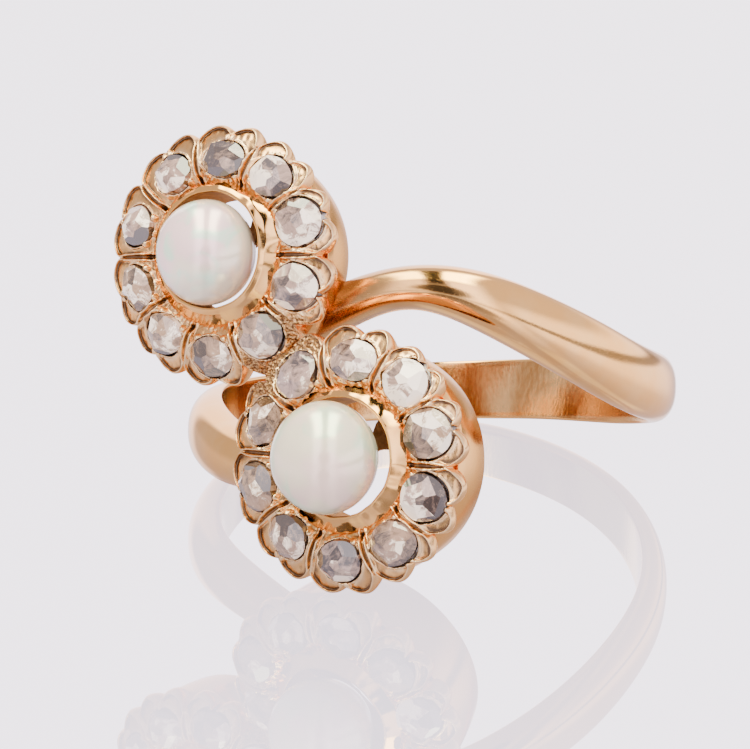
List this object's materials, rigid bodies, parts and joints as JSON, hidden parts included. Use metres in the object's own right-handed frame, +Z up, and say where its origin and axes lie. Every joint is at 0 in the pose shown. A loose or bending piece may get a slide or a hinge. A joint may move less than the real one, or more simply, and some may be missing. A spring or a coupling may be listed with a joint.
{
  "type": "toi et moi ring",
  "caption": "Bypass finger ring lying on its side, with two daisy clusters of rose cut diamonds round a pearl on tapered galleries.",
  "frame": {"origin": "on the table under the middle of the ring's bounding box", "axes": "+Z up from the table the ring lies on; -Y the way the two clusters face; +X to the side of the lower cluster"},
  "size_m": [0.0196, 0.0259, 0.0161],
  "materials": {
    "rose_gold": "polished",
    "white_pearl": "lustrous",
    "cream_pearl": "lustrous",
    "diamond": "faceted"
  },
  "bodies": {
    "root": {"gold_mount": "rose_gold", "upper_pearl": "white_pearl", "lower_pearl": "cream_pearl", "upper_diamond_0": "diamond", "upper_diamond_1": "diamond", "upper_diamond_2": "diamond", "upper_diamond_3": "diamond", "upper_diamond_4": "diamond", "upper_diamond_5": "diamond", "upper_diamond_6": "diamond", "upper_diamond_7": "diamond", "upper_diamond_8": "diamond", "upper_diamond_9": "diamond", "lower_diamond_0": "diamond", "lower_diamond_1": "diamond", "lower_diamond_2": "diamond", "lower_diamond_3": "diamond", "lower_diamond_4": "diamond", "lower_diamond_5": "diamond", "lower_diamond_6": "diamond", "lower_diamond_7": "diamond", "lower_diamond_8": "diamond", "lower_diamond_9": "diamond"}
  },
  "joints": []
}
